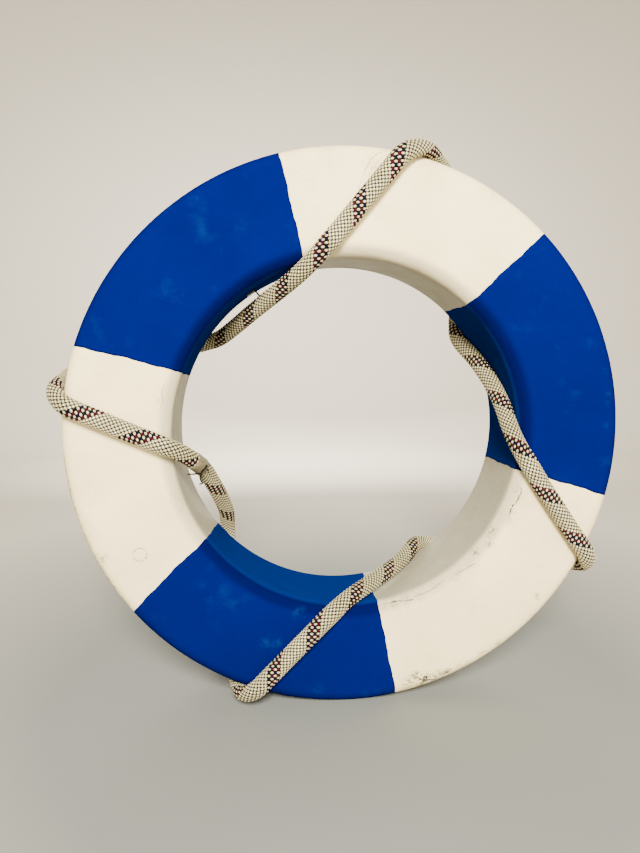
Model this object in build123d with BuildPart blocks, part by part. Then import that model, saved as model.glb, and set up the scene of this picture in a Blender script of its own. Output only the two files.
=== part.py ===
"""Ring lifebuoy: a hard skin over a foam ring, painted sectors and one rope wound round it."""
import os
from math import cos, radians, sin, tan

from build123d import *

os.makedirs("parts", exist_ok=True)

# ------------------------------------------------------------------ driving dimensions
# Lengths are in millimetres. The ring's axis is Y, its front face looks along -Y and the
# origin is its centre. Angles run counter-clockwise from +X, seen from the front.

ring_outer_diameter = 508.0
ring_hole_diameter = 318.0
ring_thickness = 96.0
outer_corner_radius = 12.0
inner_corner_radius = 14.0
shell_wall = 1.0
coat_thickness = 0.2

# Painted sectors: node name, first angle and last angle
blue_sectors = [
    ("blue_coat_upper_left", 104.5, 160.0),
    ("blue_coat_bottom", 217.0, 280.0),
    ("blue_coat_right", -13.0, 47.0),
]

# Holes left by the foam filling, in the front face: angle, distance from the axis, diameter
filler_hole = (208.6, 215.0, 14.0)
vent_hole = (213.7, 219.0, 6.0)
plug_depth = 8.0
plug_chamfer = 0.5

rope_diameter = 16.0
rope_core_diameter = 11.5
joint_gap = 0.6
arc_share = 0.45

# Corners of the rope's centreline: angle, distance from the axis, Y. It starts and ends at
# the joint, and goes round the ring four times: behind it, over the rim, across the front
# and back through the hole.
rope_route = [
    (189.8, 140.4, -30), (193.2, 136.6, -18.5), (200.5, 135.7, -1.5), (209, 137.8, 17),
    (216, 143.5, 36), (220, 151, 47.5), (225, 164, 57),
    (240.5, 250.5, 57), (243, 263, 44), (245.3, 263.5, 0), (247.3, 263, -44), (249.2, 250.5, -57),
    (263, 164, -57), (270, 150.5, -43.5), (283, 151.5, -12), (295.5, 151.5, 18),
    (303, 150.8, 43), (306.5, 164, 57),
    (323, 250.5, 57), (325.5, 263, 44), (328.5, 263.5, 0), (331.5, 263, -44), (333.3, 250.5, -57),
    (351.5, 164, -57), (0, 150.5, -43.5), (13, 151.5, -18), (26, 151.5, 14),
    (36, 150.8, 43), (40, 164, 57),
    (58.5, 250.5, 57), (62.5, 263, 44), (69, 264, 0), (76, 263, -44), (80, 250.5, -57),
    (99.5, 164, -57), (107, 151, -44), (126, 143, -3), (144, 149.5, 41.5),
    (149.5, 164, 57),
    (163, 250.5, 57), (165.5, 263, 44), (168, 263.5, 0), (170.5, 263, -44), (172.5, 250.5, -57),
    (181.5, 164, -57), (183.6, 153.3, -49.5), (186.7, 145.2, -40.5), (189.8, 140.4, -30),
]

sleeve_length = 15.0
sleeve_bore = 16.5
sleeve_wall = 0.8

# Sewing thread at the joint, in the joint's own axes: X towards the ring's wall, Z along the
# rope. One list of corners for each strand.
thread_diameter = 1.0
stitch_strands = [
    [(-8.35, -5.0, 2.3), (-6.35, -7.4, 2.1), (-3.65, -9.05, 1.9), (-1.1, -9.75, 3.4)],
    [(-0.5, -9.8, 5.0), (3.1, -9.3, 3.4), (7.0, -8.3, 1.8), (11.2, -7.2, 1.2)],
    [(0.4, -9.85, 6.6), (3.7, -9.3, 10.4), (7.0, -8.6, 16.6), (8.8, -8.5, 23.0),
     (9.0, -8.7, 27.0), (13.0, -7.4, 27.0)],
]
strand_bend = 0.9

# Tab on the inner wall, and the thread that ties the rope to it: (angle, distance, Y) ends
tab_angle = 124.0
tab_y = 8.0
tab_size = (10.0, 9.0)
tab_height = 1.4
tab_edge_gap = 0.08
tie_diameter = 1.0
tie_ends = [(123.0, 156.6, 9), (122.2, 151.5, -11)]

# ------------------------------------------------------------------ sizes worked out
ring_outer_radius = ring_outer_diameter / 2
ring_hole_radius = ring_hole_diameter / 2
section_width = ring_outer_radius - ring_hole_radius
section_centre_radius = (ring_outer_radius + ring_hole_radius) / 2
front_face = Plane(origin=(0, -ring_thickness / 2, 0), x_dir=(1, 0, 0), z_dir=(0, -1, 0))
counter_clockwise = Axis((0, 0, 0), (0, -1, 0))


def ring_point(angle, radius, y):
    """Return the point at an angle round the ring, a distance from its axis and a Y."""
    return Vector(radius * cos(radians(angle)), y, radius * sin(radians(angle)))


def section_plane(angle):
    """Return the plane through the ring's axis at an angle: X away from the axis, Y along it."""
    outwards = ring_point(angle, 1, 0)
    return Plane(origin=(0, 0, 0), x_dir=outwards, z_dir=outwards.cross(Vector(0, 1, 0)))


def draw_ring_section(sketch, growth=0.0):
    """Draw the ring's rounded section in the open sketch, grown by growth on every side."""
    with Locations((section_centre_radius, 0)):
        Rectangle(section_width + 2 * growth, ring_thickness + 2 * growth)
    fillet(sketch.vertices().group_by(Axis.X)[-1], radius=outer_corner_radius + growth)
    fillet(sketch.vertices().group_by(Axis.X)[0], radius=inner_corner_radius + growth)


def corner_radii(points):
    """Return each corner's arc: 0.45 of its shorter run over the tangent of half the turn."""
    radii = []
    for before, corner, after in zip(points, points[1:], points[2:]):
        arriving = corner - before
        leaving = after - corner
        half_turn = radians(arriving.get_angle(leaving) / 2)
        radii.append(arc_share * min(arriving.length, leaving.length) / tan(half_turn))
    return radii


def hole_centre(hole):
    """Return a filling hole's centre in the front face's own axes."""
    angle, radius, _ = hole
    return (radius * cos(radians(angle)), radius * sin(radians(angle)))


def draw_filling_holes():
    """Draw both filling holes in the open sketch."""
    for hole in (filler_hole, vent_hole):
        with Locations(hole_centre(hole)):
            Circle(hole[2] / 2)


def finish(piece, label):
    """Name a finished piece and write it as a STEP file."""
    piece.part.label = label
    export_step(piece.part, f"parts/{label}.step")


# ------------------------------------------------------------------ hard outer skin
with BuildPart() as ring_shell:
    with BuildSketch(section_plane(0)) as outer_section:
        draw_ring_section(outer_section)
    revolve(axis=counter_clockwise)
    with BuildSketch(section_plane(0)) as cavity_section:
        draw_ring_section(cavity_section, growth=-shell_wall)
    revolve(axis=counter_clockwise, mode=Mode.SUBTRACT)
    with BuildSketch(front_face) as shell_holes:
        draw_filling_holes()
    extrude(amount=-shell_wall, mode=Mode.SUBTRACT)
finish(ring_shell, "ring_shell")

# ------------------------------------------------------------------ foam inside the skin
with BuildPart() as foam_core:
    with BuildSketch(section_plane(0)) as foam_section:
        draw_ring_section(foam_section, growth=-shell_wall)
    revolve(axis=counter_clockwise)
    with BuildSketch(front_face) as foam_pockets:
        draw_filling_holes()
    extrude(amount=-plug_depth, mode=Mode.SUBTRACT)
finish(foam_core, "foam_core")

# ------------------------------------------------------------------ plugs in the filling holes
for label, hole in (("filler_plug", filler_hole), ("vent_plug", vent_hole)):
    with BuildPart() as plug:
        with BuildSketch(front_face) as plug_outline:
            with Locations(hole_centre(hole)):
                Circle(hole[2] / 2)
        extrude(amount=-plug_depth)
        chamfer(plug.edges().group_by(Axis.Y)[0], length=plug_chamfer)
    finish(plug, label)

# ------------------------------------------------------------------ painted sectors
for label, first_angle, last_angle in blue_sectors:
    with BuildPart() as coat:
        with BuildSketch(section_plane(first_angle)) as coat_outside:
            draw_ring_section(coat_outside, growth=coat_thickness)
        revolve(axis=counter_clockwise, revolution_arc=last_angle - first_angle)
        with BuildSketch(section_plane(0)) as coat_inside:
            draw_ring_section(coat_inside)
        revolve(axis=counter_clockwise, mode=Mode.SUBTRACT)
    finish(coat, label)

# ------------------------------------------------------------------ rope, in runs and arcs
rope_points = [ring_point(*corner) for corner in rope_route]
joint_centre = rope_points[0]
rope_points[0] += (rope_points[1] - rope_points[0]).normalized() * (joint_gap / 2)
rope_points[-1] += (rope_points[-2] - rope_points[-1]).normalized() * (joint_gap / 2)
rope_radii = corner_radii(rope_points)

with BuildPart() as rope_cover:
    with BuildLine() as cover_path:
        FilletPolyline(*rope_points, radius=rope_radii)
    with BuildSketch(Plane(origin=cover_path.line @ 0, z_dir=cover_path.line % 0)):
        Circle(rope_diameter / 2)
        Circle(rope_core_diameter / 2, mode=Mode.SUBTRACT)
    sweep()
finish(rope_cover, "rope_cover")

with BuildPart() as rope_core:
    with BuildLine() as core_path:
        FilletPolyline(*rope_points, radius=rope_radii)
    with BuildSketch(Plane(origin=core_path.line @ 0, z_dir=core_path.line % 0)) as core_section:
        Circle(rope_core_diameter / 2)
    sweep()
finish(rope_core, "rope_core")

rope_length = sum(edge.length for edge in core_path.edges())
print("rope length", round(rope_length, 1))
print("rope arcs", [round(radius) for radius in rope_radii])
print("core volume over section x length",
      round(rope_core.part.volume / (core_section.sketch.area * rope_length), 4))

# ------------------------------------------------------------------ joint of the rope's ends
joint_direction = (rope_points[1] - rope_points[-2]).normalized()
wall_direction = Vector(joint_centre.X, 0, joint_centre.Z)
wall_direction -= joint_direction * wall_direction.dot(joint_direction)
joint_plane = Plane(origin=joint_centre, x_dir=wall_direction, z_dir=joint_direction)

with BuildPart() as joint_sleeve:
    with BuildSketch(joint_plane.offset(-sleeve_length / 2)) as sleeve_section:
        Circle(sleeve_bore / 2 + sleeve_wall)
        Circle(sleeve_bore / 2, mode=Mode.SUBTRACT)
    extrude(amount=sleeve_length)
finish(joint_sleeve, "joint_sleeve")

with BuildPart() as joint_stitches:
    for strand in stitch_strands:
        corners = [joint_plane.from_local_coords(Vector(*corner)) for corner in strand]
        with BuildLine() as strand_path:
            FilletPolyline(*corners, radius=strand_bend)
        with BuildSketch(Plane(origin=strand_path.line @ 0, z_dir=strand_path.line % 0)):
            Circle(thread_diameter / 2)
        sweep()
finish(joint_stitches, "joint_stitches")

# ------------------------------------------------------------------ tab and tie on the inner wall
tab_radius = ring_hole_radius - coat_thickness - tab_edge_gap
tab_seat = Plane(
    origin=ring_point(tab_angle, tab_radius - tab_height, tab_y),
    x_dir=(0, 1, 0),
    z_dir=ring_point(tab_angle, 1, 0),
)
with BuildPart() as anchor_tab:
    with BuildSketch(tab_seat) as tab_outline:
        RectangleRounded(*tab_size, radius=1.5)
    extrude(amount=tab_height)
finish(anchor_tab, "anchor_tab")

with BuildPart() as anchor_thread:
    with BuildLine() as tie_path:
        Line(*[ring_point(*end) for end in tie_ends])
    with BuildSketch(Plane(origin=tie_path.line @ 0, z_dir=tie_path.line % 0)) as tie_section:
        Circle(tie_diameter / 2)
    sweep()
finish(anchor_thread, "anchor_thread")
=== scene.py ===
"""Ring lifebuoy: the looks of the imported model. Metres, in the model's own frame."""
from math import cos, pi, radians, sin

import bpy
import numpy as np
from mathutils import Euler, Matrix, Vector


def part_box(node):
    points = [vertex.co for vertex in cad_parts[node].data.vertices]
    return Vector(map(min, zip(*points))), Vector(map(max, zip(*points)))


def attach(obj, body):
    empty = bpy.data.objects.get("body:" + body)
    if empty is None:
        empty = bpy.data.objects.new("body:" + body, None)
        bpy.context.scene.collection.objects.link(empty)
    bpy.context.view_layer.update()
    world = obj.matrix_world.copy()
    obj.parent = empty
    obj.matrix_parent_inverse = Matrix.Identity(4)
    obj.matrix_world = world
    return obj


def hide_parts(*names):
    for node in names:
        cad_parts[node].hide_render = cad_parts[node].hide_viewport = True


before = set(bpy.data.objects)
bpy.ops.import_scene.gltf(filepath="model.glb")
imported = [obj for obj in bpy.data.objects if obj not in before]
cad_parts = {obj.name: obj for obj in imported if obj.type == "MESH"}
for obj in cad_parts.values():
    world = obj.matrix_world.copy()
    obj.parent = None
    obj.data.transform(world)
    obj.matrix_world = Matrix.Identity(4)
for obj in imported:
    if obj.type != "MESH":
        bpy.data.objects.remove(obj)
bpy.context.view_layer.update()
MM = 0.001

# ------------------------------------------------------------------ sizes
# The shell's box gives the outside. The others are the same as in the CAD.
shell_low, shell_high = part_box("ring_shell")
OUTER_RADIUS = shell_high.x
HALF_THICKNESS = shell_high.y
FLOOR_HEIGHT = shell_low.z
HOLE_RADIUS = 159 * MM
OUTER_ROUND = 12 * MM            # rounding of the section at the rim
INNER_ROUND = 14 * MM            # and at the hole
ROPE_DIAMETER = 16 * MM
ROPE_RADIUS = ROPE_DIAMETER / 2


def ring_point(angle, radius, y):
    """A point from its angle round the ring in degrees, and its radius and Y in millimetres."""
    return Vector((radius * cos(radians(angle)), y, radius * sin(radians(angle)))) * MM


def link(piece):
    """Put a new object in the scene."""
    bpy.context.scene.collection.objects.link(piece)
    return piece


# ------------------------------------------------------------------ camera
camera = link(bpy.data.objects.new("camera", bpy.data.cameras.new("camera")))
camera.location = (-0.0806, -0.6142, 0.0794)
camera.rotation_euler = Euler((radians(90 - 6.91), 0, radians(-5.33)))
camera.data.lens = 27.1
camera.data.clip_start = 0.01
bpy.context.scene.camera = camera

# ------------------------------------------------------------------ rope's centreline
# The rope's route, from the sewn joint round to it again: angle, radius and Y. Where it is
# pressed on the ring it lies about 7.6 mm from the skin, and each long straight stretch has a
# point near each end.
ROUTE = [
    (189.8, 140.4, -30), (193.2, 136.6, -18.5), (200.5, 135.7, -1.5), (209, 137.8, 17),
    (216, 143.5, 36), (220, 151.5, 47), (225, 164.5, 55.6), (229.5, 181, 55.6),
    (238, 231, 55.6), (240.5, 250, 55.6), (243, 261.7, 44), (244, 261.7, 23.5),
    (245.3, 262, 0), (246.5, 261.7, -24.5), (247.3, 261.7, -44), (249.2, 250, -55.6),
    (251, 232.5, -55.6), (258, 186.5, -55.6), (263, 164.5, -55.6), (270, 150.5, -43.5),
    (283, 148.5, -12), (295.5, 151, 18), (303, 151.5, 43), (306.5, 164.5, 55.6),
    (311, 181, 55.6), (320.5, 231.5, 55.6), (323, 250, 55.6), (325.5, 261.7, 44),
    (327, 261.7, 23.5), (328.5, 262, 0), (330.2, 261.7, -25), (331.5, 261.7, -44),
    (333.3, 250, -55.6), (335.5, 233.5, -55.6), (344.5, 186, -55.6), (351.5, 164.5, -55.6),
    (0, 151.5, -43.5), (13, 152, -18), (26, 152, 14), (36, 151.5, 43), (40, 164.5, 55.6),
    (45, 180, 55.6), (55.5, 228.5, 55.6), (58.5, 250, 55.6), (62.5, 261.7, 44),
    (65.5, 261.7, 23), (69, 262.5, 0), (72.5, 261.7, -23.5), (76, 261.7, -44),
    (80, 250, -55.6), (83, 229, -55.6), (93, 183, -55.6), (99.5, 164.5, -55.6),
    (107, 151.5, -44), (115, 145.5, -26.5), (126, 143, -3), (137, 145, 23.5),
    (144, 150, 41.5), (149.5, 164.5, 55.6), (154.5, 186, 55.6), (161, 231, 55.6),
    (163, 250, 55.6), (165.5, 261.7, 44), (166.7, 261.7, 23.5), (168, 262, 0),
    (169.4, 261.7, -24.5), (170.5, 261.7, -44), (172.5, 250, -55.6), (174, 231, -55.6),
    (179.5, 177.5, -55.6), (181.5, 164.5, -55.6), (183.6, 153.3, -49.5), (186.7, 145.2, -40.5),
    (189.8, 140.4, -30),
]


THREAD_STEPS = 12                # steps to a control point, in sewing thread
ROPE_STEPS = 24                  # and in the rope


def add_spline(curve, points, steps):
    """Add one open NURBS spline to a curve, with its control points."""
    spline = curve.splines.new("NURBS")
    spline.points.add(len(points) - 1)
    for target, point in zip(spline.points, points):
        target.co = (*point, 1)
    spline.order_u = 3
    spline.use_endpoint_u = True
    spline.resolution_u = steps


def new_spline(name, points, steps=THREAD_STEPS):
    """A smooth open NURBS curve object with its control points, and no thickness yet."""
    curve = bpy.data.curves.new(name, "CURVE")
    curve.dimensions = "3D"
    add_spline(curve, points, steps)
    return link(bpy.data.objects.new(name, curve))


def thicken(piece, radius, resolution, material):
    """Give a curve a round section, closed ends and a material."""
    piece.data.bevel_depth = radius
    piece.data.bevel_resolution = resolution
    piece.data.use_fill_caps = True
    piece.data.materials.append(material)


rope_inner = new_spline("rope_inner", [ring_point(*place) for place in ROUTE], ROPE_STEPS)
centre_mesh = bpy.data.meshes.new_from_object(rope_inner)
centre_points = np.array([vertex.co for vertex in centre_mesh.vertices])
centre_steps = np.linalg.norm(np.diff(centre_points, axis=0), axis=1)
centre_lengths = np.concatenate([[0], np.cumsum(centre_steps)])
ROPE_LENGTH = float(centre_lengths[-1])


def centre_at(lengths):
    """Points of the rope's centreline at distances along it."""
    return np.stack([np.interp(lengths, centre_lengths, centre_points[:, k]) for k in range(3)], 1)


def carried_frames(points):
    """Tangent and two side directions at each point, carried along without twist."""
    tangents = np.gradient(points, axis=0)
    tangents /= np.linalg.norm(tangents, axis=1)[:, None]
    sides = np.empty_like(points)
    side = np.cross(tangents[0], [0, 1, 0])
    for i, tangent in enumerate(tangents):
        side = side - tangent * side.dot(tangent)
        side /= np.linalg.norm(side)
        sides[i] = side
    return tangents, sides, np.cross(tangents, sides)


# ------------------------------------------------------------------ materials
def new_material(name, roughness):
    """A node material, the function that joins its nodes, its shader and one that adds nodes."""
    material = bpy.data.materials.new(name)
    material.use_nodes = True
    tree = material.node_tree
    shader = tree.nodes["Principled BSDF"]
    shader.inputs["Roughness"].default_value = roughness

    def add(kind, **values):
        node = tree.nodes.new("ShaderNode" + kind)
        for key, value in values.items():
            if hasattr(node, key):
                setattr(node, key, value)
            else:
                node.inputs[key].default_value = value
        return node

    return material, tree.links.new, shader, add


def ramp(add, join, source, low, high, dark=0.0, light=1.0):
    """Map a value from low..high to dark..light, clamped."""
    node = add("MapRange", clamp=True)
    node.inputs["From Min"].default_value = low
    node.inputs["From Max"].default_value = high
    node.inputs["To Min"].default_value = dark
    node.inputs["To Max"].default_value = light
    join(source, node.inputs["Value"])
    return node.outputs["Result"]


def noise(add, join, coordinates, scale, detail, rough=0.55):
    """Fractal noise over object coordinates: scale is features per metre."""
    node = add("TexNoise", Scale=scale, Detail=detail, Roughness=rough)
    join(coordinates, node.inputs["Vector"])
    return node.outputs["Fac"]


def mix(add, join, factor, first, second):
    """Mix two colours, each a socket or an RGB triple, by a factor socket."""
    node = add("Mix", data_type="RGBA")
    join(factor, node.inputs[0])
    for socket, colour in ((node.inputs[6], first), (node.inputs[7], second)):
        if isinstance(colour, tuple):
            socket.default_value = (*colour, 1)
        else:
            join(colour, socket)
    return node.outputs[2]


def bump(add, join, height, distance, under=None):
    """A bump of a height socket, with its distance in metres, over the bump under it."""
    node = add("Bump", Distance=distance, Strength=1.0)
    join(height, node.inputs["Height"])
    if under is not None:
        join(under, node.inputs["Normal"])
    return node.outputs["Normal"]


def paint_material(name, base, shade, wear_and_highlight, fold_shade, hole, dirt_and_shade, roughness, shine):
    """Hand-rolled paint: mottled colour, roller stipple, smudges, and what the layers say.

    The mesh's "hole" layer is 0 on the flat faces and 1 inside the hole. Between them, on the
    hole's rounding, the fold colour is a painted shade, and inside the hole the hole colour is
    painted shade on the white and a lighter painted light on the blue. Its scuff layer is rubbed
    paint with a painted highlight, and its dirt layer is grime with painted shade.
    """
    material, join, shader, add = new_material(name, roughness)
    place = add("TexCoord").outputs["Object"]
    mottle = noise(add, join, place, scale=14, detail=5)
    colour = mix(add, join, ramp(add, join, mottle, 0.35, 0.68), base, shade)
    smudge = noise(add, join, place, scale=33, detail=6, rough=0.65)
    colour = mix(add, join, ramp(add, join, smudge, 0.58, 0.74, light=0.4), colour, wear_and_highlight)
    # Painted shade on the hole's rounding, and painted light and shade on the wall inside the hole
    inwards = add("Attribute", attribute_name="hole").outputs["Fac"]
    colour = mix(add, join, ramp(add, join, inwards, 0.0, 0.45), colour, fold_shade)
    colour = mix(add, join, ramp(add, join, inwards, 0.86, 0.99), colour, hole)
    patches = noise(add, join, place, scale=260, detail=5, rough=0.7)
    grain = noise(add, join, place, scale=430, detail=5, rough=0.7)
    # Spots from the layers: rubbed paint with a painted highlight, and grime with painted shade
    for layer, texture, tint in (("scuff_and_highlight", ramp(add, join, patches, 0.40, 0.62), wear_and_highlight),
                                 ("dirt_and_shade", ramp(add, join, grain, 0.42, 0.60), dirt_and_shade)):
        spots = add("Attribute", attribute_name=layer)
        broken = add("Math", operation="MULTIPLY", use_clamp=True)
        join(spots.outputs["Fac"], broken.inputs[0])
        join(texture, broken.inputs[1])
        colour = mix(add, join, broken.outputs[0], colour, tint)
    join(colour, shader.inputs["Base Color"])
    uneven = noise(add, join, place, scale=60, detail=3)
    join(ramp(add, join, uneven, 0.3, 0.7, roughness - 0.07, roughness + 0.10),
         shader.inputs["Roughness"])
    shader.inputs["Specular IOR Level"].default_value = shine
    stipple = noise(add, join, place, scale=420, detail=3, rough=0.5)
    waves = noise(add, join, place, scale=55, detail=2)
    fine = bump(add, join, stipple, 0.22 * MM)
    join(bump(add, join, waves, 1.2 * MM, under=fine), shader.inputs["Normal"])
    return material


# The fold and hole colours are painted shade at the hole, but the blue's hole colour is painted
# light; its worn colour is also a painted highlight
white_paint = paint_material(
    "white_paint", base=(0.90, 0.745, 0.405), shade=(0.76, 0.625, 0.335), wear_and_highlight=(0.60, 0.51, 0.28),
    fold_shade=(0.55, 0.475, 0.29), hole=(0.28, 0.255, 0.168), dirt_and_shade=(0.022, 0.017, 0.010),
    roughness=0.55, shine=0.12)
blue_paint = paint_material(
    "blue_paint", base=(0.0, 0.0031, 0.075), shade=(0.0, 0.0026, 0.064),
    wear_and_highlight=(0.004, 0.020, 0.095), fold_shade=(0.0, 0.0013, 0.044), hole=(0.0, 0.0115, 0.098),
    dirt_and_shade=(0.002, 0.004, 0.02), roughness=0.6, shine=0.0)


def yarn_material(name, base, shade, gap_shade, shine):
    """Twisted filaments: fine lines along the yarn, and painted shade in the gaps between yarns.

    The mesh's "depth" layer is 0 at the outside of the rope and rises inwards, and its "hole"
    layer is 1 inside the ring's hole, where the rope is older and darker with painted shade.
    """
    material, join, shader, add = new_material(name, 0.7)
    along = add("UVMap")
    place = add("TexCoord").outputs["Object"]
    filaments = add("TexNoise", Scale=1.0, Detail=2.0)
    stretch = add("Mapping")
    stretch.inputs["Scale"].default_value = (0.45, 5.0, 1.0)
    join(along.outputs["UV"], stretch.inputs["Vector"])
    join(stretch.outputs["Vector"], filaments.inputs["Vector"])
    patches = noise(add, join, place, scale=60, detail=4)
    colour = mix(add, join, ramp(add, join, patches, 0.35, 0.7), base, shade)
    lines = ramp(add, join, filaments.outputs["Fac"], 0.38, 0.62, light=0.35)
    colour = mix(add, join, lines, colour, shade)
    # Darker inside the hole: grime, and painted shade
    older_and_shaded = add("Attribute", attribute_name="hole").outputs["Fac"]
    colour = mix(add, join, ramp(add, join, older_and_shaded, 0.0, 1.0, light=0.6), colour, shade)
    # Painted shade in the gaps between yarns, darker the deeper a point lies
    depth = add("Attribute", attribute_name="depth").outputs["Fac"]
    colour = mix(add, join, ramp(add, join, depth, 0.0, 0.30), colour, gap_shade)
    join(colour, shader.inputs["Base Color"])
    join(bump(add, join, filaments.outputs["Fac"], 0.20 * MM), shader.inputs["Normal"])
    shader.inputs["Specular IOR Level"].default_value = shine
    return material


# The gap colours are painted shade between the yarns
cream_yarn = yarn_material("cream_yarn", base=(0.82, 0.72, 0.44), shade=(0.52, 0.45, 0.25),
                           gap_shade=(0.022, 0.020, 0.008), shine=0.12)
red_yarn = yarn_material("red_yarn", base=(0.060, 0.0022, 0.010), shade=(0.034, 0.0015, 0.006),
                         gap_shade=(0.009, 0.001, 0.002), shine=0.04)
navy_yarn = yarn_material("navy_yarn", base=(0.0040, 0.0024, 0.017),
                          shade=(0.0026, 0.0018, 0.010), gap_shade=(0.0012, 0.001, 0.003), shine=0.04)
core_yarn = yarn_material("core_yarn", base=(0.040, 0.033, 0.015), shade=(0.028, 0.023, 0.011),
                          gap_shade=(0.02, 0.016, 0.008), shine=0.0)


def plain_material(name, base, shade, roughness, scale, height, shine=0.5):
    """A mottled material with a fine uneven surface: scale is grains per metre."""
    material, join, shader, add = new_material(name, roughness)
    place = add("TexCoord").outputs["Object"]
    grain = noise(add, join, place, scale, detail=5, rough=0.6)
    join(mix(add, join, ramp(add, join, grain, 0.35, 0.65), base, shade),
         shader.inputs["Base Color"])
    join(bump(add, join, grain, height), shader.inputs["Normal"])
    shader.inputs["Specular IOR Level"].default_value = shine
    return material


foam_plastic = plain_material("foam_plastic", (0.72, 0.63, 0.40), (0.60, 0.52, 0.32),
                              roughness=0.9, scale=700, height=0.4 * MM)
joint_wrap = plain_material("joint_wrap", (0.20, 0.165, 0.085), (0.085, 0.072, 0.036),
                            roughness=0.6, scale=330, height=0.4 * MM)
black_thread = plain_material("black_thread", (0.0015, 0.0014, 0.0014), (0.003, 0.003, 0.003),
                              roughness=0.7, scale=2500, height=0.1 * MM, shine=0.08)
tab_plastic = plain_material("tab_plastic", (0.10, 0.095, 0.12), (0.07, 0.07, 0.09),
                             roughness=0.5, scale=500, height=0.1 * MM)
crack_dirt = plain_material("crack_dirt", (0.010, 0.008, 0.006), (0.035, 0.026, 0.016),
                            roughness=0.8, scale=900, height=0.1 * MM)
peel_dirt = plain_material("peel_dirt", (0.085, 0.075, 0.04), (0.16, 0.14, 0.08),
                           roughness=0.8, scale=900, height=0.1 * MM)


def floor_material():
    """Pale card: grey under the ring, and lighter and warmer further out."""
    material, join, shader, add = new_material("floor_card", 0.8)
    place = add("TexCoord").outputs["Object"]
    flat = add("VectorMath", operation="MULTIPLY")
    flat.inputs[1].default_value = (1, 1, 0)
    join(place, flat.inputs[0])
    away = add("VectorMath", operation="LENGTH")
    join(flat.outputs["Vector"], away.inputs[0])
    outer = ramp(add, join, away.outputs["Value"], 0.28, 0.75)
    join(mix(add, join, outer, (0.165, 0.172, 0.152), (0.50, 0.46, 0.385)),
         shader.inputs["Base Color"])
    tooth = noise(add, join, place, scale=30, detail=3)
    join(bump(add, join, tooth, 0.1 * MM), shader.inputs["Normal"])
    return material


floor_card = floor_material()

# ------------------------------------------------------------------ ring surfaces
# Steps round the section: of its four flats, and of its roundings at the rim and at the hole
PROFILE_STEPS = {"front": 34, "back": 30, "outside": 30, "inside": 34, "outer": 10, "inner": 12}


def profile():
    """The ring's section, from the rim's back edge round the rim, front, hole and back.

    Each entry is (radius, y, radius direction, y direction) of a point and its outward normal.
    """
    points = []

    def run(start, end, normal, steps):
        for k in range(steps):
            t = k / steps
            points.append((start[0] + (end[0] - start[0]) * t,
                           start[1] + (end[1] - start[1]) * t, *normal))

    def arc(centre, size, first, steps):
        for k in range(steps):
            a = radians(first - 90 * k / steps)
            points.append((centre[0] + size * cos(a), centre[1] + size * sin(a), cos(a), sin(a)))

    big, small = OUTER_ROUND, INNER_ROUND
    out, hole, half = OUTER_RADIUS, HOLE_RADIUS, HALF_THICKNESS
    steps = PROFILE_STEPS
    run((out, half - big), (out, big - half), (1, 0), steps["outside"])
    arc((out - big, big - half), big, 0, steps["outer"])
    run((out - big, -half), (hole + small, -half), (0, -1), steps["front"])
    arc((hole + small, small - half), small, -90, steps["inner"])
    run((hole, small - half), (hole, half - small), (-1, 0), steps["inside"])
    arc((hole + small, half - small), small, 180, steps["inner"])
    run((hole + small, half), (out - big, half), (0, 1), steps["back"])
    arc((out - big, half - big), big, 90, steps["outer"])
    return np.array(points)


PROFILE = profile()


def unevenness(angles, radii, ys):
    """How far hand-finished skin stands out from the true ring, in metres."""
    slow = np.sin(3 * angles + 0.7) * 0.4 + np.sin(7 * angles + 22 * radii + 2.1) * 0.35
    mid = np.sin(23 * angles + 60 * ys) * 0.5 + np.sin(41 * angles - 95 * radii + 1.0) * 0.4
    fine = np.sin(97 * angles + 140 * radii) * np.sin(83 * angles - 170 * ys + 0.4)
    return (slow * 0.07 + mid * 0.035 + fine * 0.02) * MM


def skin_points(angles, growth):
    """Points of the ring's skin for an (angles x profile) grid of angles, grown outwards."""
    radii, ys, out_r, out_y = PROFILE.T
    stand = growth + unevenness(angles, radii[None, :], ys[None, :])
    r = radii[None, :] + out_r[None, :] * stand
    y = ys[None, :] + out_y[None, :] * stand
    return np.stack([r * np.cos(angles), y, r * np.sin(angles)], axis=-1)


def grid_faces(rows, columns, offset=0, closed_rows=False, flip=False):
    """Quads of a grid that is closed across its columns."""
    i = np.arange(rows if closed_rows else rows - 1)[:, None]
    j = np.arange(columns)[None, :]
    a = i * columns + j
    b = i * columns + (j + 1) % columns
    c = (i + 1) % rows * columns + (j + 1) % columns
    d = (i + 1) % rows * columns + j
    quads = np.stack([a, d, c, b] if flip else [a, b, c, d], axis=-1).reshape(-1, 4)
    return quads + offset


def sleeve_faces(rows, columns):
    """Faces of a sleeve with a thickness: its outer grid, its inner grid and its two rims."""
    inner = rows * columns
    last_row = inner - columns
    here = np.arange(columns)
    beside = (here + 1) % columns
    start_rim = np.stack([here, inner + here, inner + beside, beside], axis=-1)
    end_rim = last_row + np.stack([here, beside, inner + beside, inner + here], axis=-1)
    return np.concatenate([grid_faces(rows, columns), grid_faces(rows, columns, inner, flip=True),
                           start_rim, end_rim])


def new_mesh(name, points, faces, material, smooth=True):
    """A mesh object from points and faces."""
    mesh = bpy.data.meshes.new(name)
    mesh.from_pydata([tuple(p) for p in points], [], [tuple(int(k) for k in f) for f in faces])
    mesh.validate()
    mesh.polygons.foreach_set("use_smooth", [smooth] * len(mesh.polygons))
    mesh.materials.append(material)
    return link(bpy.data.objects.new(name, mesh))
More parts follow.
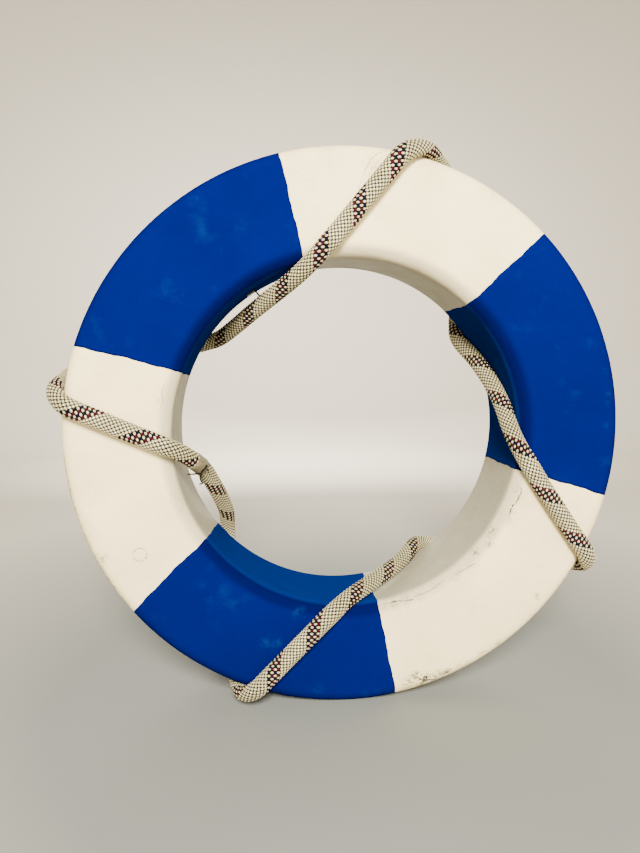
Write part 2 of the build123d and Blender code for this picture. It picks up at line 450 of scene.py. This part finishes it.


# Dirt on the skin, and on the rim's rounding painted shade as well: angle, radius, Y, reach in
# millimetres and strength
DIRT_AND_SHADE = [
    (281.5, 162, -44, 5, 0.5), (285, 163, -44, 5, 0.6), (289, 163, -44, 5, 0.5),
    (294, 164, -45, 6, 0.35), (300, 164, -45, 6, 0.3), (308, 166, -46, 6, 0.35),
    (313, 168, -47, 5, 0.4), (317, 163, -44, 4, 0.7), (325.5, 163, -43, 5, 0.6),
    (322, 168, -47, 4, 0.45), (333, 169, -47, 7, 0.3), (341, 168, -47, 7, 0.35),
    (285.4, 238, -48, 4, 1.2), (287.2, 244, -48, 5, 1.7), (289.5, 248, -47, 5, 1.4),
    (292.5, 246, -47, 4, 1.2), (283, 247, -47, 6, 0.6), (296, 249, -46, 7, 0.5),
    (301.5, 245, -48, 4, 0.5), (305.5, 248, -47, 4, 0.5), (319.3, 237, -48, 3, 0.8),
    (316, 243, -48, 8, 0.25), (165, 171, -48, 4, 0.4), (168, 171, -48, 5, 0.3),
    (205.5, 245, -48, 4, 0.8), (200, 250, -46, 8, 0.25), (200, 165, -46, 10, 0.2),
    (75, 250, -46, 9, 0.3), (60, 250, -46, 9, 0.3), (86, 236, -48, 6, 0.25),
    (95, 250, -46, 8, 0.25), (100, 215, -48, 9, 0.12), (190, 235, -48, 12, 0.12),
    (283.5, 243, -48, 5, 0.9), (286.3, 247.5, -47.5, 4, 1.5), (291, 243, -48, 3, 0.8),
    (291, 251, -44, 6, 0.6), (297.5, 251.5, -44, 6, 0.45), (304, 251, -45, 7, 0.4),
    (103, 240, -48, 14, 0.15), (99, 228, -48, 13, 0.13), (94, 240, -48, 13, 0.13),
    (100.5, 205, -48, 12, 0.10), (101.5, 190, -48, 10, 0.10),
]
# Painted shade, with grime, in a thin line along the rim's rounding, at the lower left and the
# lower right
DIRT_AND_SHADE += [(angle, 253.3, -40, 4, 1.5) for angle in (*range(184, 218, 2), *range(284, 336, 2))]

# Lighter spots on the blue skin, given as the dirt is: rubbed paint, and on the bottom sector a
# painted highlight
SCUFFS_AND_HIGHLIGHTS = [
    (247.5, 206, -48, 4, 0.9), (250.5, 203, -48, 4, 0.9), (253.3, 170, -48, 4, 0.8),
    (254.2, 166, -47, 3, 0.6), (263, 240, -48, 5, 0.5), (273.5, 245, -48, 3, 0.7),
    (123.3, 244, -48, 4, 0.6), (125.8, 223, -48, 4, 0.4), (118, 205, -48, 7, 0.25),
    (14, 244, -48, 2, 0.9), (9, 243, -48, 2, 0.9), (7, 242, -48, 2, 0.7), (2, 240, -48, 2, 0.8),
    (21, 236, -48, 3, 0.5),
]
SPOT_SPREAD = 1.2                # how far a spot fades, in times its reach
FOLD_WIDTH = 13 * MM             # how far outside the hole the painted shade of the rounding begins


def spots_near(places, spots):
    """The strength at each place of the spots near it."""
    strength = np.zeros(len(places))
    for angle, radius, y, reach, amount in spots:
        distance = np.linalg.norm(places - np.array(ring_point(angle, radius, y)), axis=1)
        fade = SPOT_SPREAD * reach * MM
        strength = np.maximum(strength, amount * np.exp(-((distance / fade) ** 2)))
    return strength


def add_layer(piece, name, values):
    """Keep one number for each vertex, for a material to read."""
    piece.data.attributes.new(name, "FLOAT", "POINT").data.foreach_set("value", values)


def add_wear_and_painted_light(piece):
    """Give each vertex how far it is in the hole, which sets painted shade there, and the strength
    of the wear and of the painted highlight and shade near it.
    """
    count = len(piece.data.vertices)
    places = np.empty(count * 3)
    piece.data.vertices.foreach_get("co", places)
    places = places.reshape(count, 3)
    radii = np.hypot(places[:, 0], places[:, 2])
    add_layer(piece, "hole", np.clip((HOLE_RADIUS + FOLD_WIDTH - radii) / FOLD_WIDTH, 0, 1))
    add_layer(piece, "scuff_and_highlight", spots_near(places, SCUFFS_AND_HIGHLIGHTS))
    add_layer(piece, "dirt_and_shade", spots_near(places, DIRT_AND_SHADE))


RING_STEPS = 512
turn = np.linspace(0, 2 * pi, RING_STEPS, endpoint=False)[:, None]
skin_angles = np.repeat(turn, len(PROFILE), axis=1)
ring_skin = new_mesh("ring_skin", skin_points(skin_angles, 0).reshape(-1, 3),
                     grid_faces(RING_STEPS, len(PROFILE), closed_rows=True), white_paint)
add_wear_and_painted_light(ring_skin)
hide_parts("ring_shell")
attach(ring_skin, "root")

COAT_PROUD = 0.22 * MM           # how far a coat's outside stands out from the skin
COAT_SUNK = -0.25 * MM           # and its underside, which is hidden in the skin
# Blue sectors: node, then its two edges, each as its angle at the rim, at the hole in front and
# at the hole's back
COATS = [
    ("blue_coat_upper_left", (104.3, 104.8, 104.9), (161.2, 158.5, 160.8)),
    ("blue_coat_bottom", (218.6, 214.7, 218.5), (280.4, 279.8, 279.3)),
    ("blue_coat_right", (-13.6, -11.7, -12.1), (46.2, 48.2, 47.2)),
]
# Waver of a painted edge: wavelength in metres, share of the seed and size in millimetres
WAVER = [(0.041, 1.0, 0.35), (0.0173, 2.3, 0.22), (0.0074, 3.7, 0.10)]


def edge_angles(edge, seed):
    """The angle of a painted edge at each point of the section, with a hand-painted waver."""
    radii, ys = PROFILE[:, 0], PROFILE[:, 1]
    inwards = np.clip((OUTER_RADIUS - radii) / (OUTER_RADIUS - HOLE_RADIUS), 0, 1)
    backwards = np.clip(ys / (2 * HALF_THICKNESS) + 0.5, 0, 1)
    rim, hole_front, hole_back = edge
    at_hole = hole_front + (hole_back - hole_front) * backwards
    angles = np.radians(rim + (at_hole - rim) * inwards)
    along = np.cumsum(np.hypot(np.diff(radii, append=radii[0]), np.diff(ys, append=ys[0])))
    waver = sum(np.sin(along * 2 * pi / wavelength + share * seed) * size
                for wavelength, share, size in WAVER) * MM
    return angles + waver / radii


def coat_points(first_edge, last_edge, number):
    """Outer and under points of a painted sector between two edges, and its row count."""
    first = edge_angles(first_edge, 1.0 + number)
    last = edge_angles(last_edge, 4.0 + number)
    rows = 1 + round((last.mean() - first.mean()) / (2 * pi) * RING_STEPS)
    share = np.linspace(0, 1, rows)[:, None]
    angles = first[None, :] + (last - first)[None, :] * share
    outer = skin_points(angles, COAT_PROUD).reshape(-1, 3)
    under = skin_points(angles, COAT_SUNK).reshape(-1, 3)
    return np.concatenate([outer, under]), rows


for number, (node, first_edge, last_edge) in enumerate(COATS):
    points, rows = coat_points(first_edge, last_edge, number)
    coat = new_mesh(node + "_paint", points, sleeve_faces(rows, len(PROFILE)), blue_paint)
    add_wear_and_painted_light(coat)
    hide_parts(node)
    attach(coat, "root")

# ------------------------------------------------------------------ braided rope
CARRIERS = 12                    # yarns each way round
PITCH = 50.5 * MM                # one turn of a yarn, along the rope
CROSSING = PITCH / (2 * CARRIERS)
STEPS_PER_CROSSING = 4
YARN_WIDTH = 2.5 * MM
TRACER_WIDTH = 2.9 * MM          # the dyed yarns lie a little wider
YARN_WAVE = 0.5 * MM             # how far a yarn rises over the one that it crosses
YARN_CROWN = 0.6 * MM
YARN_MIDDLE = ROPE_RADIUS - YARN_WAVE - YARN_CROWN
# Across a yarn: share of its half width, and height over its middle in millimetres
YARN_SECTION = [(-1.0, -0.25), (-0.55, 0.44), (0.0, 0.6), (0.55, 0.44), (1.0, -0.25),
                (0.0, -0.45)]
CORE_RADIUS = 6 * MM
FLATTENED = 0.10                 # how much thinner the rope is where it presses on the ring,
WIDENED = 0.07                   # and how much wider
PRESSED_BELOW = 8.3 * MM         # nearer to the skin than this it is pressed flat,
FREE_ABOVE = 11.5 * MM           # and further away it is round
HOLE_BLEND = 6 * MM              # how far either side of the hole's edge the rope changes
UV_APART = 3                     # from one yarn's UV map to the next, so that no two are alike
# Turn of the whole braid, in turns, by distance along the rope in millimetres
TWIST = [(0, 0.0), (110, 0.01), (385, 0.06), (490, 0.1), (870, 0.15), (930, 0.18), (1030, 0.12),
         (1430, 0.02), (1530, -0.06), (1925, -0.35), (1990, -0.3), (2041, -0.2)]

crossings = int(ROPE_LENGTH / CROSSING)
rope_at = np.linspace(0, ROPE_LENGTH, crossings * STEPS_PER_CROSSING + 1)
rope_points = centre_at(rope_at)
rope_tangents, rope_sides, rope_ups = carried_frames(rope_points)
rope_twist = np.interp(rope_at / MM, *zip(*TWIST))


def away_from_skin(points):
    """Distance of points from the ring's skin, and the direction straight away from it."""
    radii = np.hypot(points[:, 0], points[:, 2])
    middle = (OUTER_RADIUS + HOLE_RADIUS) / 2
    rounding = np.where(radii > middle, OUTER_ROUND, INNER_ROUND)
    flat_width = (OUTER_RADIUS - HOLE_RADIUS) / 2 - rounding
    flat_depth = HALF_THICKNESS - rounding
    over_r = np.maximum(np.abs(radii - middle) - flat_width, 0) * np.sign(radii - middle)
    over_y = np.maximum(np.abs(points[:, 1]) - flat_depth, 0) * np.sign(points[:, 1])
    reach = np.hypot(over_r, over_y)
    outwards = over_r / radii
    direction = np.stack([points[:, 0] * outwards, over_y, points[:, 2] * outwards], axis=1)
    return reach - rounding, direction / np.maximum(reach, 1e-6)[:, None]


clearance, skin_normals = away_from_skin(rope_points)
rope_radii = np.hypot(rope_points[:, 0], rope_points[:, 2])
in_hole = np.clip((HOLE_RADIUS + HOLE_BLEND - rope_radii) / (2 * HOLE_BLEND), 0, 1)
near = np.clip((FREE_ABOVE - clearance) / (FREE_ABOVE - PRESSED_BELOW), 0, 1)
pressed = (near * near * (3 - 2 * near) * (1 - in_hole))[:, None]


def flatten(offsets):
    """Squash offsets from the centreline towards the ring, where the rope presses on it."""
    out = (offsets * skin_normals).sum(axis=1)[:, None] * skin_normals
    flat = out * (1 - FLATTENED) + (offsets - out) * (1 + WIDENED)
    return offsets + (flat - offsets) * pressed


def yarn(carrier, hand, width):
    """Points of one yarn and how deep each lies: hand is 1 one way round and -1 the other."""
    lean = np.arctan2(2 * pi * YARN_MIDDLE, PITCH)
    turned = 2 * pi * (carrier / CARRIERS + hand * rope_at / PITCH + rope_twist)
    rise = hand * YARN_WAVE * np.cos(pi * rope_at / CROSSING)
    rings, depths = [], []
    for across, height in YARN_SECTION:
        shift = across * width / 2
        radius = YARN_MIDDLE + rise + height * MM
        angle = turned + shift * np.cos(lean) / YARN_MIDDLE
        slide = -hand * shift * np.sin(lean)
        outwards = rope_sides * np.cos(angle)[:, None] + rope_ups * np.sin(angle)[:, None]
        rings.append(rope_points + flatten(rope_tangents * slide + outwards * radius[:, None]))
        depths.append((ROPE_RADIUS - radius) / (2 * (YARN_WAVE + YARN_CROWN)))
    return np.stack(rings, axis=1).reshape(-1, 3), np.stack(depths, axis=1).ravel()


def yarn_faces(count, rows, columns):
    """Faces of several yarns' sides and ends."""
    sides, ends = [], []
    for first in range(0, count * rows * columns, rows * columns):
        sides += grid_faces(rows, columns, first).tolist()
        last_row = first + (rows - 1) * columns
        ends.append(list(reversed(range(first, first + columns))))
        ends.append(list(range(last_row, last_row + columns)))
    return sides + ends


def add_yarn_uv(piece, rows, columns):
    """Lay a UV map along each yarn in millimetres, and across its top from 0 to 1."""
    corner = np.empty(len(piece.data.loops), dtype=int)
    piece.data.loops.foreach_get("vertex_index", corner)
    along = corner // columns % rows * (ROPE_LENGTH / rows) / MM
    across = corner % columns / (columns - 2) + UV_APART * (corner // (rows * columns))
    layer = piece.data.uv_layers.new(name="UVMap")
    layer.data.foreach_set("uv", np.stack([along, across], axis=1).ravel())


def new_yarns(name, carriers, hand, material, width=YARN_WIDTH):
    """One piece that holds several yarns of the same colour and hand."""
    columns = len(YARN_SECTION)
    rows = len(rope_at)
    points, depths = zip(*[yarn(carrier, hand, width) for carrier in carriers])
    faces = yarn_faces(len(carriers), rows, columns)
    piece = new_mesh(name, np.concatenate(points), faces, material)
    add_layer(piece, "depth", np.concatenate(depths))
    add_layer(piece, "hole", np.tile(np.repeat(in_hole, columns), len(carriers)))
    add_yarn_uv(piece, rows, columns)
    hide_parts("rope_cover")
    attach(piece, "root")
    return piece


right_hand = [
    new_yarns("rope_yarn_right_0", range(0, 4), 1, cream_yarn),
    new_yarns("rope_yarn_right_1", range(4, 8), 1, cream_yarn),
    new_yarns("rope_yarn_right_2", range(8, 12), 1, cream_yarn),
]
left_hand = [
    new_yarns("rope_yarn_left_0", range(4, 8), -1, cream_yarn),
    new_yarns("rope_yarn_left_1", range(8, 12), -1, cream_yarn),
    new_yarns("rope_yarn_navy", (0, 2), -1, navy_yarn, TRACER_WIDTH),
    new_yarns("rope_yarn_red", (1, 3), -1, red_yarn, TRACER_WIDTH),
]

thicken(rope_inner, CORE_RADIUS, 5, core_yarn)
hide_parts("rope_core")
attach(rope_inner, "root")

# ------------------------------------------------------------------ rope's joint
WRAP_FROM = -9 * MM              # the wrap's ends, along the rope from the joint
WRAP_TO = 9.5 * MM
WRAP_RINGS = 34
WRAP_SIDES = 40
WRAP_END_RADIUS = 7.7 * MM       # at its two ends, where it hugs the rope,
WRAP_RISE = 0.6 * MM             # and how much more it is between them
WRAP_TAPER = 0.22                # share of its length that each end takes to rise
WRAP_THICKNESS = 0.6 * MM

wrap_at = np.linspace(WRAP_FROM, WRAP_TO, WRAP_RINGS)
wrap_centres = np.where((wrap_at < 0)[:, None], centre_at(ROPE_LENGTH + wrap_at),
                        centre_at(np.maximum(wrap_at, 0)))
wrap_sides, wrap_ups = carried_frames(wrap_centres)[1:]
wrap_turn = np.linspace(0, 2 * pi, WRAP_SIDES, endpoint=False)
wrap_share = (wrap_at - WRAP_FROM) / (WRAP_TO - WRAP_FROM)
wrap_taper = np.clip(np.minimum(wrap_share, 1 - wrap_share) / WRAP_TAPER, 0, 1)
wrap_radii = WRAP_END_RADIUS + WRAP_RISE * np.sin(wrap_taper * pi / 2)


def wrap_ring(i, growth):
    """One ring of the joint's wrap, with its lumps."""
    lumps = 0.10 * np.sin(3 * wrap_turn + 9 * wrap_share[i])
    lumps += 0.07 * np.sin(7 * wrap_turn - 14 * wrap_share[i])
    radius = wrap_radii[i] + lumps * MM + growth
    return (wrap_centres[i] + wrap_sides[i] * (np.cos(wrap_turn) * radius)[:, None]
            + wrap_ups[i] * (np.sin(wrap_turn) * radius)[:, None])


outer_rings = [wrap_ring(i, 0) for i in range(WRAP_RINGS)]
inner_rings = [wrap_ring(i, -WRAP_THICKNESS) for i in range(WRAP_RINGS)]
joint_sleeve = new_mesh("joint_wrap", np.concatenate([*outer_rings, *inner_rings]),
                        sleeve_faces(WRAP_RINGS, WRAP_SIDES), joint_wrap)
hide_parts("joint_sleeve")
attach(joint_sleeve, "root")

STITCH_RADIUS = 0.7 * MM
# Sewing thread, in the joint's own axes: X towards the ring's wall, Z along the rope
STRANDS = [
    [(-8.6, -4.2, 2.2), (-7.4, -5.4, 2.3), (-5.7, -7.2, 2.1), (-3.5, -8.5, 1.9),
     (-1.6, -9.1, 2.6)],
    [(-0.8, -9.2, 4.6), (2.7, -9.0, 3.4), (5.6, -8.6, 2.0), (8.4, -8.0, 1.6), (11.2, -7.2, 1.2)],
    [(-0.4, -9.2, 6.0), (3.4, -8.8, 9.6), (6.4, -8.2, 15.6), (8.4, -8.2, 22.0),
     (8.8, -8.5, 26.0), (13.0, -7.4, 27.0)],
    [(-5.9, -6.2, 7.4), (-6.1, -6.4, 8.2), (-5.9, -6.3, 9.0)],
]
joint_centre = ring_point(*ROUTE[0])
joint_along = (ring_point(*ROUTE[1]) - ring_point(*ROUTE[-2])).normalized()
joint_to_wall = Vector((joint_centre.x, 0, joint_centre.z))
joint_to_wall -= joint_along * joint_to_wall.dot(joint_along)
joint_to_wall.normalize()
joint_across = joint_along.cross(joint_to_wall)


def joint_point(x, y, z):
    """A point in the joint's own axes, given in millimetres."""
    return joint_centre + (joint_to_wall * x + joint_across * y + joint_along * z) * MM


joint_stitches = new_spline("joint_thread", [joint_point(*place) for place in STRANDS[0]])
for strand in STRANDS[1:]:
    add_spline(joint_stitches.data, [joint_point(*place) for place in strand], THREAD_STEPS)
thicken(joint_stitches, STITCH_RADIUS, 3, black_thread)
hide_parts("joint_stitches")
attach(joint_stitches, "root")

tuple(ring_point(*ROUTE[0]))

# ------------------------------------------------------------------ plugs in the filling holes
# Half of a plug's section: share of its radius, height over the skin in millimetres, and dirt
PLUG_SECTION = [(0.02, 0.30, 0.0), (0.4, 0.30, 0.0), (0.72, 0.26, 0.05), (0.80, 0.02, 1.0),
                (0.87, 0.02, 1.0), (0.93, 0.34, 0.1), (0.99, 0.38, 0.0), (1.05, 0.22, 0.3),
                (1.09, -0.30, 0.8)]
PLUG_SIDES = 48


def new_plug(node, angle, radius, size):
    """A painted plug with a ring-shaped mark, level with the front face."""
    centre = ring_point(angle, radius, -HALF_THICKNESS / MM)
    plug_turn = np.linspace(0, 2 * pi, PLUG_SIDES, endpoint=False)
    points = [centre + Vector((share * size * cos(a), -height * MM, share * size * sin(a)))
              for share, height, grime in PLUG_SECTION for a in plug_turn]
    last_row = (len(PLUG_SECTION) - 1) * PLUG_SIDES
    faces = grid_faces(len(PLUG_SECTION), PLUG_SIDES, flip=True).tolist()
    faces.append(range(PLUG_SIDES))
    faces.append(reversed(range(last_row, last_row + PLUG_SIDES)))
    piece = new_mesh(node + "_painted", points, faces, white_paint)
    grimes = [grime for share, height, grime in PLUG_SECTION]
    add_layer(piece, "dirt_and_shade", np.repeat(grimes, PLUG_SIDES))
    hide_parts(node)
    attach(piece, "root")


new_plug("filler_plug", 208.6, 215, 7 * MM)
new_plug("vent_plug", 213.7, 219, 3 * MM)

# ------------------------------------------------------------------ cracks in the paint
# Half the greatest width in millimetres, then the angle, radius and Y of points along each crack
CRACKS = [
    (1.0, [(281.5, 163, -44), (284, 163, -44), (287.5, 163.5, -44.5), (291.5, 164, -45)]),
    (0.7, [(291.5, 164, -45), (297.5, 165, -45.5), (303.5, 164, -45)]),
    (0.7, [(308.5, 166, -46), (312.5, 168, -47), (316.5, 170, -48)]),
    (1.5, [(316.2, 163, -43.5), (317.6, 163, -44)]),
    (1.1, [(324.5, 162.5, -43), (326, 163, -44), (327.5, 163.5, -44.5)]),
    (0.8, [(321, 168.5, -47), (323.2, 166, -46)]),
    (1.1, [(343.5, 167, -47), (341.5, 168.5, -47.5), (339, 168, -47), (336, 168, -47),
           (333, 169, -47.5)]),
    (0.8, [(340, 171.5, -48), (338.5, 168, -47)]),
    (1.3, [(284.6, 234, -48), (285.6, 239, -48), (287, 244, -47.8), (288.3, 247, -47)]),
    (1.4, [(285.9, 242, -48), (287.6, 246.5, -47), (289.2, 247.5, -46.8)]),
    (0.9, [(290.4, 247, -47), (292.3, 245.5, -47.5), (293.4, 243, -48)]),
    (0.9, [(301.4, 244, -48), (301.9, 246, -47.5)]),
    (0.8, [(305.2, 247, -47.4), (305.9, 248.5, -46.8)]),
    (0.9, [(319.2, 236.2, -48), (319.5, 237.8, -48)]),
    (0.7, [(163.2, 169.8, -47.6), (164, 170.2, -48)]),
    (0.5, [(165, 171, -48), (168, 169, -47.5), (171.5, 169.5, -47.8)]),
    (0.9, [(205.3, 244.2, -48), (205.9, 245.6, -47.5)]),
]
# Outline of the paint that peels at the top, given as the cracks are
PEELS = [
    (0.7, [(88, 214, -48), (87.9, 222, -48), (87.3, 231, -48), (86.5, 239, -48), (85, 247, -47),
           (83, 251.5, -43)]),
    (0.45, [(86.4, 219, -48), (86.2, 227, -48), (85.6, 235, -48), (84.4, 243, -47.9),
            (82.6, 248, -46.5)]),
]
CRACK_STEP = 0.9 * MM
CRACK_WANDER = 0.22              # how far a crack strays at each step, in millimetres
CRACK_NARROWEST = 0.25           # share of its greatest width
CRACK_TIP = 0.15                 # how blunt its ends are, in radians of a half wave
CRACK_PROUD = 0.12 * MM
CRACK_SUNK = -0.15 * MM
wear_random = np.random.default_rng(7)


def sliver(half_width, places):
    """Points of a thin ridge along a crack, three to a row, and its faces."""
    corners = np.array([ring_point(*place) for place in places])
    lengths = np.concatenate([[0], np.cumsum(np.linalg.norm(np.diff(corners, axis=0), axis=1))])
    count = max(3, int(lengths[-1] / CRACK_STEP))
    at = np.linspace(0, lengths[-1], count)
    line = np.stack([np.interp(at, lengths, corners[:, k]) for k in range(3)], axis=1)
    distance, normals = away_from_skin(line)
    line -= normals * distance[:, None]
    forward = np.gradient(line, axis=0)
    forward /= np.linalg.norm(forward, axis=1)[:, None]
    aside = np.cross(normals, forward)
    wander = np.cumsum(wear_random.normal(0, CRACK_WANDER, count)) * MM
    line += aside * (wander - wander.mean())[:, None]
    turns = np.arctan2(line[:, 2], line[:, 0])
    stand = unevenness(turns, np.hypot(line[:, 0], line[:, 2]), line[:, 1])
    tapered = np.sin(np.linspace(CRACK_TIP, pi - CRACK_TIP, count)) ** 0.5
    uneven = wear_random.uniform(CRACK_NARROWEST, 1.0, count)
    half = (half_width * MM * uneven * tapered)[:, None]
    edge = normals * (stand + CRACK_SUNK)[:, None]
    crest = normals * (stand + CRACK_PROUD)[:, None]
    points = np.stack([line + aside * half + edge, line + crest, line - aside * half + edge],
                      axis=1)
    ends = [[2, 1, 0], [3 * count - 3, 3 * count - 2, 3 * count - 1]]
    return points.reshape(-1, 3), grid_faces(count, 3).tolist() + ends


def new_slivers(name, lines, material):
    """One piece that holds several cracks."""
    points, faces = [], []
    for half_width, places in lines:
        used = sum(len(some) for some in points)
        more_points, more_faces = sliver(half_width, places)
        points.append(more_points)
        faces += [[used + k for k in face] for face in more_faces]
    piece = new_mesh(name, np.concatenate(points), faces, material, smooth=False)
    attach(piece, "root")


new_slivers("paint_cracks", CRACKS, crack_dirt)
new_slivers("paint_peel", PEELS, peel_dirt)

# ------------------------------------------------------------------ thread that ties the rope
# From the wall, over the edge of the rope: angle, radius and Y
TIE = [(122.6, 158.6, -6), (122.4, 156.6, -11), (122.3, 152.5, -14.5), (122.3, 149.6, -16.5),
       (122, 146.8, -17.6)]
TIE_RADIUS = 0.75 * MM
tie_thread = new_spline("tie_thread", [ring_point(*place) for place in TIE])
thicken(tie_thread, TIE_RADIUS, 3, black_thread)
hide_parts("anchor_thread")
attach(tie_thread, "root")

# ------------------------------------------------------------------ CAD nodes that stay
for node, material in (("foam_core", foam_plastic), ("anchor_tab", tab_plastic)):
    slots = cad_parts[node].data.materials
    slots.clear()
    slots.append(material)

# ------------------------------------------------------------------ floor and light
# A round floor that curves up into a wall, in metres
FLOOR_RADIUS = 1.6
COVE_RADIUS = 0.5
WALL_HEIGHT = 3.5
STAGE_SIDES = 96


def stage_section():
    """Half of the stage's section: radius and height over the floor."""
    section = [(r, 0.0) for r in (0.001, 0.2, 0.4, 0.7, 1.0, 1.3)]
    for degrees in range(0, 91, 6):
        a = radians(degrees)
        section.append((FLOOR_RADIUS + COVE_RADIUS * sin(a), COVE_RADIUS * (1 - cos(a))))
    return [*section, (FLOOR_RADIUS + COVE_RADIUS, WALL_HEIGHT)]


def new_floor():
    """The floor and its wall, turned round the Z axis."""
    section = stage_section()
    columns = len(section)
    points, faces = [], []
    for k in range(STAGE_SIDES):
        a = 2 * pi * k / STAGE_SIDES
        points += [(r * cos(a), r * sin(a), FLOOR_HEIGHT + z) for r, z in section]
        here = k * columns
        beside = (k + 1) % STAGE_SIDES * columns
        faces += [(here + j, beside + j, beside + j + 1, here + j + 1) for j in range(columns - 1)]
    return new_mesh("floor", points, faces, floor_card)


floor = new_floor()

world = bpy.data.worlds.new("world")
bpy.context.scene.world = world
world.use_nodes = True
background = world.node_tree.nodes["Background"]
background.inputs["Color"].default_value = (1.0, 0.98, 0.94, 1)
background.inputs["Strength"].default_value = 0.3


WARM = (1.0, 0.965, 0.89)


def new_light(name, place, target, size, power):
    """A square soft light that looks at a point, with its size in metres and power in watts."""
    data = bpy.data.lights.new(name, "AREA")
    data.shape = "SQUARE"
    data.size = size
    data.energy = power
    data.color = WARM
    light = link(bpy.data.objects.new(name, data))
    light.visible_camera = False
    light.location = place
    light.rotation_euler = (Vector(target) - Vector(place)).to_track_quat("-Z", "Y").to_euler()


new_light("key", (-0.15, -1.42, 0.82), (0, 0, 0), size=0.45, power=121)
new_light("fill", (0.75, -1.3, 0.1), (0, 0, 0), size=0.9, power=11)
new_light("back", (0.15, 1.6, 0.55), (0, 0, 0), size=1.0, power=30)
new_light("wash", (0, 1.0, 0.45), (0, 2.1, 0.15), size=0.7, power=36)
